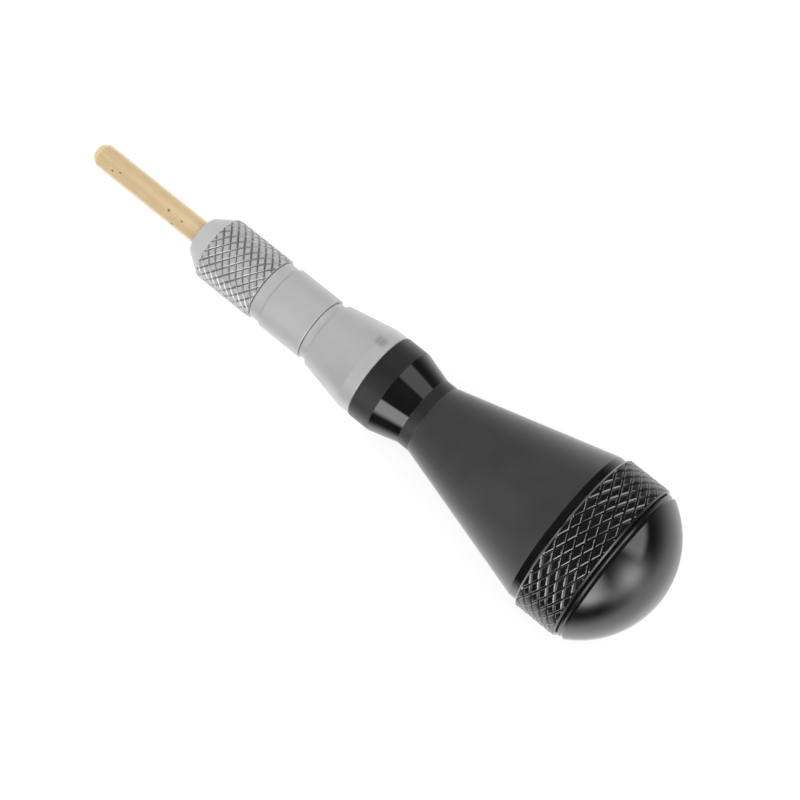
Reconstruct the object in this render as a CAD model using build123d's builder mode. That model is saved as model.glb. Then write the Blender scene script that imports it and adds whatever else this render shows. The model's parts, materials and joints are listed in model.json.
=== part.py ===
"""Spring bar tool: a palm-push collet handle with a brass pusher rod and a ball-bearing swivel palm dome.

The tool is turned about one axis, and it lies on a flat surface on the rear ring and the nose nut.
Every outline is drawn on one plane that holds that axis: x is the distance behind the rod's tip,
y is the distance from the axis. Threads are drawn as plain running fits, with parallel grooves
where they can be seen.
"""
import os
from math import acos, atan2, cos, degrees, radians, sin, sqrt

from build123d import *

# Driving dimensions, in millimetres. A name that ends in _AT is a distance behind the rod's tip.
ROD_RADIUS = 1.75
ROD_TIP_RADIUS = 1.24
ROD_CHAMFER_AT = 0.93
ROD_TIP_ROUND = 0.2
ROD_END_AT = 44.0

NUT_FACE_AT = 19.08
NUT_FACE_RADIUS = 2.76
NUT_KNURL_AT = 22.12
NUT_RADIUS = 4.76
NUT_END_AT = 31.19
NUT_CONE_AT = 20.0
NUT_MOUTH_RADIUS = 2.0
NUT_FACE_ROUND = 0.5
NUT_REAR_CHAMFER = 0.25
NUT_RELIEF = 0.4          # plain run in front of the nut's thread
NUT_RELIEF_STEP = 0.2

COLLET_FACE_AT = 20.4
COLLET_FACE_RADIUS = 2.55
COLLET_HEAD_AT = 23.0
COLLET_HEAD_RADIUS = 3.25
COLLET_HEAD_LAND = 0.5
COLLET_HEAD_STEP = 0.6
COLLET_LEG_RADIUS = 2.6
COLLET_TAIL_AT = 35.0
COLLET_TAIL_RADIUS = 2.9
COLLET_END_AT = 39.45
COLLET_SOLID_RING = 1.0   # unslotted length in front of the tail
COLLET_SLOT_WIDTH = 0.45
COLLET_SLOTS = 4

NOSE_THREAD_RADIUS = 3.5
NOSE_THREAD_AT = 24.4
NOSE_THREAD_PITCH = 0.5
NOSE_THREAD_DEPTH = 0.22
NOSE_THREAD_HALF_WIDTH = 0.2
NOSE_THREAD_LEAD = 0.6    # first groove, in pitches in front of the neck
FRONT_NECK_AT = 31.24
FRONT_NECK_RADIUS = 4.43
SLEEVE_AT = 33.15
SLEEVE_RADIUS = 4.72
SLEEVE_END_AT = 40.06
SLEEVE_ROUND = 0.15
SLEEVE_CHAMFER = 0.25
GUIDE_END_AT = 39.5
CHUCK_TAIL_RADIUS = 3.3
CHUCK_TAIL_END_AT = 44.6
ROD_PASSAGE_RADIUS = 1.95

REAR_NECK_RADIUS = 4.41
FLARE_AT = 41.43
FLARE_RADIUS = 4.885
FLARE_ROUND = 0.2
BAND_AT = 48.51
BAND_RADIUS = 6.33
SHANK_END_AT = 50.46

TIE_TUBE_AT = 45.35
TIE_TUBE_RADIUS = 3.0
TIE_TUBE_BORE_RADIUS = 2.0
TIE_TUBE_END_AT = 70.0
TIE_WASHER_AT = 65.2
TIE_WASHER_END_AT = 66.0
TIE_NUT_END_AT = 69.0

COLLAR_RADIUS = 6.43
COLLAR_TAPER_AT = 53.90
WAIST_AT = 58.11
WAIST_RADIUS = 5.22
GRIP_AT = 59.77
COLLAR_PILOT_RADIUS = 4.0
COLLAR_PILOT_END_AT = 61.2

GRIP_BAND_AT = 82.42
GRIP_BAND_RADIUS = 11.52
GRIP_END_AT = 83.53
GRIP_CAVITY_FRONT_RADIUS = 5.0
GRIP_CAVITY_REAR_RADIUS = 8.0
GRIP_CAVITY_REAR_AT = 76.5
GRIP_THREAD_RADIUS = 8.6
GRIP_THREAD_AT = 78.4

RING_RADIUS = 12.0
RING_KNURL_STARTS = 24     # each way round
RING_FLATS = 2 * RING_KNURL_STARTS
RING_END_AT = 90.23
RING_CHAMFER = 0.3
RING_STEP_AT = 85.2
RING_BORE_RADIUS = 9.25
RING_COUNTERBORE_RADIUS = 10.4

PLUG_AT = 78.6
PLUG_PILOT_AT = 83.6
PLUG_END_AT = 86.4
PLUG_FLANGE_RADIUS = 10.2
PLUG_RECESS_RADIUS = 5.2
PLUG_RECESS_END_AT = 82.2

PIVOT_RADIUS = 2.48
PIVOT_AT = 77.8
PIVOT_HEAD_RADIUS = 4.0
PIVOT_HEAD_HEIGHT = 1.6
PIVOT_KEY_ACROSS_FLATS = 2.5
PIVOT_KEY_DEPTH = 2.2
PIVOT_WASHER_AT = 81.5
PIVOT_NUT_AT = 78.3
NUT_ACROSS_FLATS = 8.0
WASHER_RADIUS = 4.5
WASHER_GAP = 0.8
WASHER_GAP_SLANT = 20

BEARING_AT = 88.0
BEARING_WIDTH = 4.0
BEARING_RADIUS = 6.5
OUTER_RACE_BORE_RADIUS = 5.4
INNER_RACE_RADIUS = 3.6
BALL_CIRCLE_RADIUS = 4.5
BALL_RADIUS = 1.0
BALLS = 8
CAGE_INNER_RADIUS = 4.0
CAGE_OUTER_RADIUS = 5.0
CAGE_WIDTH = 2.5
CAGE_POCKET_LENGTH = 2.0
SPACER_RADIUS = 3.7

CIRCLIP_THICKNESS = 0.7
CIRCLIP_INNER_RADIUS = 5.6
CIRCLIP_RADIUS = 6.85
CIRCLIP_GAP_ANGLE = 50.0
CIRCLIP_EAR_RADIUS = 0.75
CIRCLIP_EAR_HOLE_RADIUS = 0.3
CIRCLIP_EAR_REACH = 0.2   # how far an ear's centre sits inside the ring's inner edge
CIRCLIP_EAR_ANGLE = 12    # from the gap's edge to the ear's centre

DOME_AT = 90.38
DOME_CENTRE_AT = 84.65
DOME_RADIUS = 13.40
DOME_LAND_RADIUS = 11.62
DOME_LAND_END_AT = 90.75
DOME_GROOVE_RADIUS = 11.48
DOME_GROOVE_END_AT = 91.28
DOME_HUB_RADIUS = 8.3
DOME_HUB_AT = 86.8
DOME_CAVITY_RADIUS = 5.6
DOME_CAVITY_END_AT = 94.6
DOME_CAVITY_CHAMFER = (0.8, 1.2)
DOME_LAND_STEP = 0.12

FIT = 0.04              # radial running clearance of a shaft in its hole
EDGE = 0.1              # break on a turned edge
LEAD_IN = 0.3           # chamfer on a bolt, a plug or a thread mouth
LIGHT_CHAMFER = 0.2     # chamfer on a thin-walled end
SEAT_CLEARANCE = 0.03   # between the collet's cone and the nut's
TRACK_CLEARANCE = 0.02  # between a ball and its track, and beside the circlip

# The lie of the tool: the ring's front edge and the nut's front edge both touch z = 0.
RING_CORNER_AT = GRIP_END_AT + RING_CHAMFER
TILT = atan2(RING_RADIUS - NUT_RADIUS, RING_CORNER_AT - NUT_KNURL_AT)
TIP_HEIGHT = NUT_RADIUS * cos(TILT) - NUT_KNURL_AT * sin(TILT)
TOOL_SPAN = DOME_CENTRE_AT * cos(TILT) + DOME_RADIUS + ROD_TIP_RADIUS * sin(TILT)
TIP_X = ROD_TIP_RADIUS * sin(TILT) - TOOL_SPAN / 2
AXIS_DIRECTION = (cos(TILT), 0, sin(TILT))


def on_axis(distance):
    """The point of the tool's axis at a distance behind the rod's tip."""
    return Vector(TIP_X + distance * cos(TILT), 0, TIP_HEIGHT + distance * sin(TILT))


def across(distance):
    """The plane square to the tool's axis at a distance behind the rod's tip."""
    return Plane(origin=on_axis(distance), x_dir=(0, 1, 0), z_dir=AXIS_DIRECTION)


PROFILE = Plane(origin=on_axis(0), x_dir=AXIS_DIRECTION, z_dir=(0, -1, 0))
TOOL_AXIS = Axis(on_axis(0), AXIS_DIRECTION)

# Sizes that follow from the driving ones.
BEARING_END_AT = BEARING_AT + BEARING_WIDTH
BALLS_AT = BEARING_AT + BEARING_WIDTH / 2
RACE_GROOVE_RADIUS = BALL_RADIUS + TRACK_CLEARANCE
SEAT_SLOPE = (COLLET_HEAD_RADIUS - COLLET_FACE_RADIUS) / (COLLET_HEAD_AT - COLLET_FACE_AT)


def seat_radius(distance):
    """Radius of the nut's inner cone, which closes the collet."""
    return COLLET_FACE_RADIUS + SEAT_CLEARANCE + (distance - COLLET_FACE_AT) * SEAT_SLOPE


# ---------------------------------------------------------------- pusher rod and chuck

# The brass rod: a plain round bar with a chamfered pushing tip.
with BuildPart() as brass_rod:
    with BuildSketch(PROFILE) as outline:
        with BuildLine():
            Polyline(
                (0, 0),
                (0, ROD_TIP_RADIUS),
                (ROD_CHAMFER_AT, ROD_RADIUS),
                (ROD_END_AT - LEAD_IN, ROD_RADIUS),
                (ROD_END_AT, ROD_RADIUS - LEAD_IN),
                (ROD_END_AT, 0),
                close=True,
            )
        make_face()
        tip_corners = outline.vertices().filter_by_position(Axis.Y, ROD_TIP_RADIUS, ROD_RADIUS)
        fillet(tip_corners.filter_by_position(Axis.X, 0, ROD_CHAMFER_AT), ROD_TIP_ROUND)
    revolve(axis=TOOL_AXIS)

# The split collet: a coned head on four spring legs, and a tail that keeps it in line.
with BuildPart() as collet:
    with BuildSketch(PROFILE):
        with BuildLine():
            Polyline(
                (COLLET_FACE_AT, ROD_RADIUS + FIT),
                (COLLET_FACE_AT, COLLET_FACE_RADIUS),
                (COLLET_HEAD_AT, COLLET_HEAD_RADIUS),
                (COLLET_HEAD_AT + COLLET_HEAD_LAND, COLLET_HEAD_RADIUS),
                (COLLET_HEAD_AT + COLLET_HEAD_LAND + COLLET_HEAD_STEP, COLLET_LEG_RADIUS),
                (COLLET_TAIL_AT - LEAD_IN, COLLET_LEG_RADIUS),
                (COLLET_TAIL_AT, COLLET_TAIL_RADIUS),
                (COLLET_END_AT, COLLET_TAIL_RADIUS),
                (COLLET_END_AT, ROD_RADIUS + FIT),
                close=True,
            )
        make_face()
    revolve(axis=TOOL_AXIS)
    with BuildSketch(across(COLLET_FACE_AT - EDGE)):
        with PolarLocations(0, COLLET_SLOTS // 2, start_angle=45, angular_range=180):
            Rectangle(2 * COLLET_HEAD_RADIUS + 1, COLLET_SLOT_WIDTH)
    extrude(amount=COLLET_TAIL_AT - COLLET_SOLID_RING - COLLET_FACE_AT, mode=Mode.SUBTRACT)

# The nose nut: a coned, knurled nut whose inner cone squeezes the collet's head.
nut_relief_at = NOSE_THREAD_AT - NUT_RELIEF - NUT_RELIEF_STEP
with BuildPart() as nose_nut:
    with BuildSketch(PROFILE) as outline:
        with BuildLine():
            Polyline(
                (NUT_FACE_AT, NUT_MOUTH_RADIUS),
                (NUT_FACE_AT, NUT_FACE_RADIUS),
                (NUT_KNURL_AT, NUT_RADIUS),
                (NUT_END_AT - NUT_REAR_CHAMFER, NUT_RADIUS),
                (NUT_END_AT, NUT_RADIUS - NUT_REAR_CHAMFER),
                (NUT_END_AT, NOSE_THREAD_RADIUS + FIT + LEAD_IN),
                (NUT_END_AT - LEAD_IN, NOSE_THREAD_RADIUS + FIT),
                (NOSE_THREAD_AT - NUT_RELIEF, NOSE_THREAD_RADIUS + FIT),
                (nut_relief_at, seat_radius(nut_relief_at)),
                (NUT_CONE_AT, seat_radius(NUT_CONE_AT)),
                (NUT_CONE_AT, NUT_MOUTH_RADIUS),
                close=True,
            )
        make_face()
        fillet(outline.vertices().sort_by_distance((NUT_FACE_AT, NUT_FACE_RADIUS))[0], NUT_FACE_ROUND)
    revolve(axis=TOOL_AXIS)

# The chuck body: the nut's thread, a neck, the smooth sleeve, and a threaded tail in the shank.
with BuildPart() as chuck_body:
    with BuildSketch(PROFILE) as outline:
        with BuildLine():
            Polyline(
                (NOSE_THREAD_AT, COLLET_TAIL_RADIUS + FIT),
                (NOSE_THREAD_AT, NOSE_THREAD_RADIUS - LIGHT_CHAMFER),
                (NOSE_THREAD_AT + LIGHT_CHAMFER, NOSE_THREAD_RADIUS),
                (FRONT_NECK_AT, NOSE_THREAD_RADIUS),
                (FRONT_NECK_AT, FRONT_NECK_RADIUS - EDGE),
                (FRONT_NECK_AT + EDGE, FRONT_NECK_RADIUS),
                (SLEEVE_AT, FRONT_NECK_RADIUS),
                (SLEEVE_AT, SLEEVE_RADIUS),
                (SLEEVE_END_AT, SLEEVE_RADIUS),
                (SLEEVE_END_AT, CHUCK_TAIL_RADIUS),
                (CHUCK_TAIL_END_AT, CHUCK_TAIL_RADIUS),
                (CHUCK_TAIL_END_AT, ROD_PASSAGE_RADIUS),
                (GUIDE_END_AT, ROD_PASSAGE_RADIUS),
                (GUIDE_END_AT, COLLET_TAIL_RADIUS + FIT),
                close=True,
            )
        make_face()
        fillet(outline.vertices().sort_by_distance((SLEEVE_AT, SLEEVE_RADIUS))[0], SLEEVE_ROUND)
        chamfer(outline.vertices().sort_by_distance((SLEEVE_END_AT, SLEEVE_RADIUS))[0], SLEEVE_CHAMFER)
    revolve(axis=TOOL_AXIS)
    thread_grooves = int((FRONT_NECK_AT - NOSE_THREAD_AT) / NOSE_THREAD_PITCH) - 1
    with BuildSketch(PROFILE):
        for turn in range(thread_grooves):
            groove_at = FRONT_NECK_AT - (turn + NOSE_THREAD_LEAD) * NOSE_THREAD_PITCH
            with BuildLine():
                Polyline(
                    (groove_at - NOSE_THREAD_HALF_WIDTH, NOSE_THREAD_RADIUS + EDGE),
                    (groove_at + NOSE_THREAD_HALF_WIDTH, NOSE_THREAD_RADIUS + EDGE),
                    (groove_at, NOSE_THREAD_RADIUS - NOSE_THREAD_DEPTH),
                    close=True,
                )
            make_face()
    revolve(axis=TOOL_AXIS, mode=Mode.SUBTRACT)

# The shank: the rear neck and the flared silver body.
with BuildPart() as shank:
    with BuildSketch(PROFILE) as outline:
        with BuildLine():
            Polyline(
                (SLEEVE_END_AT, CHUCK_TAIL_RADIUS + FIT),
                (SLEEVE_END_AT, REAR_NECK_RADIUS),
                (FLARE_AT, REAR_NECK_RADIUS),
                (FLARE_AT, FLARE_RADIUS),
                (BAND_AT, BAND_RADIUS),
                (SHANK_END_AT - EDGE, BAND_RADIUS),
                (SHANK_END_AT, BAND_RADIUS - EDGE),
                (SHANK_END_AT, TIE_TUBE_RADIUS + FIT),
                (TIE_TUBE_AT - FIT, TIE_TUBE_RADIUS + FIT),
                (TIE_TUBE_AT - FIT, ROD_PASSAGE_RADIUS),
                (CHUCK_TAIL_END_AT + FIT, ROD_PASSAGE_RADIUS),
                (CHUCK_TAIL_END_AT + FIT, CHUCK_TAIL_RADIUS + FIT),
                close=True,
            )
        make_face()
        fillet(outline.vertices().sort_by_distance((FLARE_AT, FLARE_RADIUS))[0], FLARE_ROUND)
    revolve(axis=TOOL_AXIS)

# ---------------------------------------------------------------- collar, grip and their tie tube

# The tie tube: a hollow stud that screws into the shank and pulls the collar and the grip to it.
with BuildPart() as tie_tube:
    with BuildSketch(PROFILE):
        with BuildLine():
            Polyline(
                (TIE_TUBE_AT, TIE_TUBE_BORE_RADIUS),
                (TIE_TUBE_AT, TIE_TUBE_RADIUS - LIGHT_CHAMFER),
                (TIE_TUBE_AT + LIGHT_CHAMFER, TIE_TUBE_RADIUS),
                (TIE_TUBE_END_AT - LIGHT_CHAMFER, TIE_TUBE_RADIUS),
                (TIE_TUBE_END_AT, TIE_TUBE_RADIUS - LIGHT_CHAMFER),
                (TIE_TUBE_END_AT, TIE_TUBE_BORE_RADIUS),
                close=True,
            )
        make_face()
    revolve(axis=TOOL_AXIS)

# The collar: a satin band, a polished taper and the waist, with a pilot that centres the grip.
with BuildPart() as collar:
    with BuildSketch(PROFILE):
        with BuildLine():
            Polyline(
                (SHANK_END_AT, TIE_TUBE_RADIUS + FIT),
                (SHANK_END_AT, COLLAR_RADIUS - EDGE),
                (SHANK_END_AT + EDGE, COLLAR_RADIUS),
                (COLLAR_TAPER_AT, COLLAR_RADIUS),
                (WAIST_AT, WAIST_RADIUS),
                (GRIP_AT, WAIST_RADIUS),
                (GRIP_AT, COLLAR_PILOT_RADIUS),
                (COLLAR_PILOT_END_AT, COLLAR_PILOT_RADIUS),
                (COLLAR_PILOT_END_AT, TIE_TUBE_RADIUS + FIT),
                close=True,
            )
        make_face()
    revolve(axis=TOOL_AXIS)

# The grip: a hollow matte cone, threaded inside its wide end.
with BuildPart() as grip:
    with BuildSketch(PROFILE):
        with BuildLine():
            Polyline(
                (GRIP_AT, COLLAR_PILOT_RADIUS + FIT),
                (GRIP_AT, WAIST_RADIUS),
                (GRIP_BAND_AT, GRIP_BAND_RADIUS),
                (GRIP_END_AT - EDGE, GRIP_BAND_RADIUS),
                (GRIP_END_AT, GRIP_BAND_RADIUS - EDGE),
                (GRIP_END_AT, GRIP_THREAD_RADIUS),
                (GRIP_THREAD_AT, GRIP_THREAD_RADIUS),
                (GRIP_THREAD_AT, GRIP_CAVITY_REAR_RADIUS),
                (GRIP_CAVITY_REAR_AT, GRIP_CAVITY_REAR_RADIUS),
                (TIE_WASHER_AT, GRIP_CAVITY_FRONT_RADIUS),
                (TIE_WASHER_AT, TIE_TUBE_RADIUS + FIT),
                (COLLAR_PILOT_END_AT + FIT, TIE_TUBE_RADIUS + FIT),
                (COLLAR_PILOT_END_AT + FIT, COLLAR_PILOT_RADIUS + FIT),
                close=True,
            )
        make_face()
    revolve(axis=TOOL_AXIS)

# The split spring washer under the tie nut.
with BuildPart() as tie_washer:
    with BuildSketch(across(TIE_WASHER_AT)):
        Circle(WASHER_RADIUS)
        Circle(TIE_TUBE_RADIUS + FIT, mode=Mode.SUBTRACT)
        with Locations((WASHER_RADIUS, 0)):
            Rectangle(WASHER_RADIUS, WASHER_GAP, rotation=WASHER_GAP_SLANT, mode=Mode.SUBTRACT)
    extrude(amount=TIE_WASHER_END_AT - TIE_WASHER_AT)

# The hexagon nut that clamps the stack inside the hollow grip.
with BuildPart() as tie_nut:
    with BuildSketch(across(TIE_WASHER_END_AT)):
        RegularPolygon(NUT_ACROSS_FLATS / 2, 6, major_radius=False)
        Circle(TIE_TUBE_RADIUS + FIT, mode=Mode.SUBTRACT)
    extrude(amount=TIE_NUT_END_AT - TIE_WASHER_END_AT)

# ---------------------------------------------------------------- rear ring and end plug

# The knurled ring. Its knurl is drawn as the flats between crests, one flat for each half pitch,
# and it lies on one of them. The plug's flange clamps its inner step against the grip.
with BuildPart() as knurl_ring:
    with BuildSketch(across(GRIP_END_AT)):
        RegularPolygon(RING_RADIUS, RING_FLATS, major_radius=False, rotation=180 / RING_FLATS)
    extrude(amount=RING_END_AT - GRIP_END_AT)
    ring_ends = knurl_ring.faces().sort_by(TOOL_AXIS)
    chamfer(ring_ends[0].edges() + ring_ends[-1].edges(), RING_CHAMFER)
    with BuildSketch(across(GRIP_END_AT)):
        Circle(RING_BORE_RADIUS)
    extrude(amount=RING_STEP_AT - GRIP_END_AT, mode=Mode.SUBTRACT)
    with BuildSketch(across(RING_STEP_AT)):
        Circle(RING_COUNTERBORE_RADIUS)
    extrude(amount=RING_END_AT - RING_STEP_AT, mode=Mode.SUBTRACT)

# The end plug: screws into the grip, holds the ring and carries the swivel's pivot.
with BuildPart() as end_plug:
    with BuildSketch(PROFILE):
        with BuildLine():
            Polyline(
                (PLUG_AT, PLUG_RECESS_RADIUS),
                (PLUG_AT, GRIP_THREAD_RADIUS - FIT - LEAD_IN),
                (PLUG_AT + LEAD_IN, GRIP_THREAD_RADIUS - FIT),
                (PLUG_PILOT_AT, GRIP_THREAD_RADIUS - FIT),
                (PLUG_PILOT_AT, RING_BORE_RADIUS - FIT),
                (RING_STEP_AT, RING_BORE_RADIUS - FIT),
                (RING_STEP_AT, PLUG_FLANGE_RADIUS),
                (PLUG_END_AT, PLUG_FLANGE_RADIUS),
                (PLUG_END_AT, PIVOT_RADIUS + FIT),
                (PLUG_RECESS_END_AT, PIVOT_RADIUS + FIT),
                (PLUG_RECESS_END_AT, PLUG_RECESS_RADIUS),
                close=True,
            )
        make_face()
    revolve(axis=TOOL_AXIS)

# ---------------------------------------------------------------- swivel: pivot, bearing and dome

# The pivot bolt: its low head sits inside the dome, and its front end has a key socket.
with BuildPart() as pivot_bolt:
    with BuildSketch(PROFILE):
        with BuildLine():
            Polyline(
                (PIVOT_AT, 0),
                (PIVOT_AT, PIVOT_RADIUS - LEAD_IN),
                (PIVOT_AT + LEAD_IN, PIVOT_RADIUS),
                (BEARING_END_AT, PIVOT_RADIUS),
                (BEARING_END_AT, PIVOT_HEAD_RADIUS),
                (BEARING_END_AT + PIVOT_HEAD_HEIGHT, PIVOT_HEAD_RADIUS),
                (BEARING_END_AT + PIVOT_HEAD_HEIGHT, 0),
                close=True,
            )
        make_face()
    revolve(axis=TOOL_AXIS)
    with BuildSketch(across(PIVOT_AT)):
        RegularPolygon(PIVOT_KEY_ACROSS_FLATS / 2, 6, major_radius=False)
    extrude(amount=PIVOT_KEY_DEPTH, mode=Mode.SUBTRACT)

# The hexagon nut and split spring washer that hold the pivot bolt in the plug.
with BuildPart() as pivot_nut:
    with BuildSketch(across(PIVOT_NUT_AT)):
        RegularPolygon(NUT_ACROSS_FLATS / 2, 6, major_radius=False)
        Circle(PIVOT_RADIUS + FIT, mode=Mode.SUBTRACT)
    extrude(amount=PIVOT_WASHER_AT - PIVOT_NUT_AT)

with BuildPart() as pivot_washer:
    with BuildSketch(across(PIVOT_WASHER_AT)):
        Circle(WASHER_RADIUS)
        Circle(PIVOT_RADIUS + FIT, mode=Mode.SUBTRACT)
        with Locations((WASHER_RADIUS, 0)):
            Rectangle(WASHER_RADIUS, WASHER_GAP, rotation=WASHER_GAP_SLANT, mode=Mode.SUBTRACT)
    extrude(amount=PLUG_RECESS_END_AT - PIVOT_WASHER_AT)

# The spacer that holds the inner race clear of the plug's flange.
with BuildPart() as bearing_spacer:
    with BuildSketch(across(PLUG_END_AT)):
        Circle(SPACER_RADIUS)
        Circle(PIVOT_RADIUS + FIT, mode=Mode.SUBTRACT)
    extrude(amount=BEARING_AT - PLUG_END_AT)

# The two races, each with its ball track.
with BuildPart() as inner_race:
    with BuildSketch(PROFILE):
        with Locations((BALLS_AT, (PIVOT_RADIUS + FIT + INNER_RACE_RADIUS) / 2)):
            Rectangle(BEARING_WIDTH, INNER_RACE_RADIUS - PIVOT_RADIUS - FIT)
        with Locations((BALLS_AT, BALL_CIRCLE_RADIUS)):
            Circle(RACE_GROOVE_RADIUS, mode=Mode.SUBTRACT)
    revolve(axis=TOOL_AXIS)

with BuildPart() as outer_race:
    with BuildSketch(PROFILE):
        with Locations((BALLS_AT, (OUTER_RACE_BORE_RADIUS + BEARING_RADIUS) / 2)):
            Rectangle(BEARING_WIDTH, BEARING_RADIUS - OUTER_RACE_BORE_RADIUS)
        with Locations((BALLS_AT, BALL_CIRCLE_RADIUS)):
            Circle(RACE_GROOVE_RADIUS, mode=Mode.SUBTRACT)
    revolve(axis=TOOL_AXIS)

# The ring of balls.
with BuildPart() as bearing_balls:
    with Locations(across(BALLS_AT)):
        with PolarLocations(BALL_CIRCLE_RADIUS, BALLS):
            Sphere(BALL_RADIUS)

# The cage: a plain ring with a round pocket for each ball.
with BuildPart() as bearing_cage:
    with BuildSketch(across(BALLS_AT)):
        Circle(CAGE_OUTER_RADIUS)
        Circle(CAGE_INNER_RADIUS, mode=Mode.SUBTRACT)
    extrude(amount=CAGE_WIDTH / 2, both=True)
    with Locations(across(BALLS_AT)):
        with PolarLocations(BALL_CIRCLE_RADIUS, BALLS):
            Cylinder(BALL_RADIUS + FIT, CAGE_POCKET_LENGTH, rotation=(0, 90, 0), mode=Mode.SUBTRACT)

# The internal circlip in front of the outer race: an open ring with two pierced ears.
ear_angle = CIRCLIP_GAP_ANGLE / 2 + CIRCLIP_EAR_ANGLE
ear_centres = CIRCLIP_INNER_RADIUS - CIRCLIP_EAR_REACH
with BuildPart() as circlip:
    with BuildSketch(across(BEARING_AT - CIRCLIP_THICKNESS)):
        Circle(CIRCLIP_RADIUS)
        Circle(CIRCLIP_INNER_RADIUS, mode=Mode.SUBTRACT)
        with BuildLine():
            gap_reach = 2 * CIRCLIP_RADIUS
            gap_x = gap_reach * cos(radians(CIRCLIP_GAP_ANGLE / 2))
            gap_y = gap_reach * sin(radians(CIRCLIP_GAP_ANGLE / 2))
            Polyline((0, 0), (gap_x, gap_y), (gap_x, -gap_y), close=True)
        make_face(mode=Mode.SUBTRACT)
        with PolarLocations(ear_centres, 2, -ear_angle, 2 * ear_angle, endpoint=True):
            Circle(CIRCLIP_EAR_RADIUS)
            Circle(CIRCLIP_EAR_HOLE_RADIUS, mode=Mode.SUBTRACT)
    extrude(amount=CIRCLIP_THICKNESS - TRACK_CLEARANCE)

# The dome: a palm rest with a hub that holds the bearing and hides the pivot bolt's head.
dome_shoulder_at = DOME_CENTRE_AT + sqrt(DOME_RADIUS ** 2 - DOME_LAND_RADIUS ** 2)
dome_arc = degrees(acos((dome_shoulder_at - DOME_CENTRE_AT) / DOME_RADIUS))
with BuildPart() as dome:
    with BuildSketch(PROFILE):
        with BuildLine():
            crown = CenterArc((DOME_CENTRE_AT, 0), DOME_RADIUS, 0, dome_arc)
            Polyline(
                crown @ 1,
                (DOME_GROOVE_END_AT, DOME_GROOVE_RADIUS),
                (DOME_LAND_END_AT + DOME_LAND_STEP, DOME_GROOVE_RADIUS),
                (DOME_LAND_END_AT, DOME_LAND_RADIUS),
                (DOME_AT + EDGE, DOME_LAND_RADIUS),
                (DOME_AT, DOME_LAND_RADIUS - EDGE),
                (DOME_AT, DOME_HUB_RADIUS),
                (DOME_HUB_AT, DOME_HUB_RADIUS),
                (DOME_HUB_AT, BEARING_RADIUS + FIT),
                (BEARING_AT - CIRCLIP_THICKNESS, BEARING_RADIUS + FIT),
                (BEARING_AT - CIRCLIP_THICKNESS, CIRCLIP_RADIUS + FIT),
                (BEARING_AT, CIRCLIP_RADIUS + FIT),
                (BEARING_AT, BEARING_RADIUS + FIT),
                (BEARING_END_AT, BEARING_RADIUS + FIT),
                (BEARING_END_AT, DOME_CAVITY_RADIUS),
                (DOME_CAVITY_END_AT - DOME_CAVITY_CHAMFER[0], DOME_CAVITY_RADIUS),
                (DOME_CAVITY_END_AT, DOME_CAVITY_RADIUS - DOME_CAVITY_CHAMFER[1]),
                (DOME_CAVITY_END_AT, 0),
                crown @ 0,
            )
        make_face()
    revolve(axis=TOOL_AXIS)

# ---------------------------------------------------------------- files

pieces = {
    "brass_rod": brass_rod,
    "collet": collet,
    "nose_nut": nose_nut,
    "chuck_body": chuck_body,
    "shank": shank,
    "tie_tube": tie_tube,
    "tie_washer": tie_washer,
    "tie_nut": tie_nut,
    "collar": collar,
    "grip": grip,
    "knurl_ring": knurl_ring,
    "end_plug": end_plug,
    "pivot_bolt": pivot_bolt,
    "pivot_nut": pivot_nut,
    "pivot_washer": pivot_washer,
    "bearing_spacer": bearing_spacer,
    "inner_race": inner_race,
    "outer_race": outer_race,
    "bearing_balls": bearing_balls,
    "bearing_cage": bearing_cage,
    "circlip": circlip,
    "dome": dome,
}

os.makedirs("parts", exist_ok=True)
for piece_name, piece in pieces.items():
    piece.part.label = piece_name
    export_step(piece.part, f"parts/{piece_name}.step")

print(f"the axis rises {degrees(TILT):.3f} degrees towards the dome")
print(f"the tip's centre is at x {TIP_X:.3f}, z {TIP_HEIGHT:.3f}")
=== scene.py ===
"""The looks of the spring bar tool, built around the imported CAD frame.

Every turned piece that shows is turned again here as a dense closed mesh, with rounded edges and
real cut knurls. It is drawn on the half plane of the tool's axis: distance behind the rod's tip,
and distance from the axis, both in millimetres. The frame gives the axis and the tip.
"""
import json
import math

import bpy
import numpy as np
from mathutils import Matrix, Vector


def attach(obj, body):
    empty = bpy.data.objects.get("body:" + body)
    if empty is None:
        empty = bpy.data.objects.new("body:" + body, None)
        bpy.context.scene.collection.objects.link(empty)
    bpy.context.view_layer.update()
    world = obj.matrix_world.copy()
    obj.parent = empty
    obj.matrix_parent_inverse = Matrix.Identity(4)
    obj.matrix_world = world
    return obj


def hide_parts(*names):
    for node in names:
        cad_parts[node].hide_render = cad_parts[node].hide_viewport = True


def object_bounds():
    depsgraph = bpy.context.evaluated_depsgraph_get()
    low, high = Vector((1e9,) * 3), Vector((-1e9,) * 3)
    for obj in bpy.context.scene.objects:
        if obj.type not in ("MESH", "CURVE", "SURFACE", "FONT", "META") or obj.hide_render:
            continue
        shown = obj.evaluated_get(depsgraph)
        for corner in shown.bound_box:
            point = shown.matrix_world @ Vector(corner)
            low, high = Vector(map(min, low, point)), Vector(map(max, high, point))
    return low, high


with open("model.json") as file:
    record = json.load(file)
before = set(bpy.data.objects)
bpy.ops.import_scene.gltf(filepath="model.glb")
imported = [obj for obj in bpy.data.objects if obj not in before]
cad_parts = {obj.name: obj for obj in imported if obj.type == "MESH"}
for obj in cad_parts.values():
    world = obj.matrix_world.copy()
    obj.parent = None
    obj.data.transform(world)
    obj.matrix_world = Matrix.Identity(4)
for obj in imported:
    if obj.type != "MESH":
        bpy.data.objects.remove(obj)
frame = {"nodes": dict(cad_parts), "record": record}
cad_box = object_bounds()

MM = 0.001

# ------------------------------------------------------------------ the tool's own axes

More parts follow.
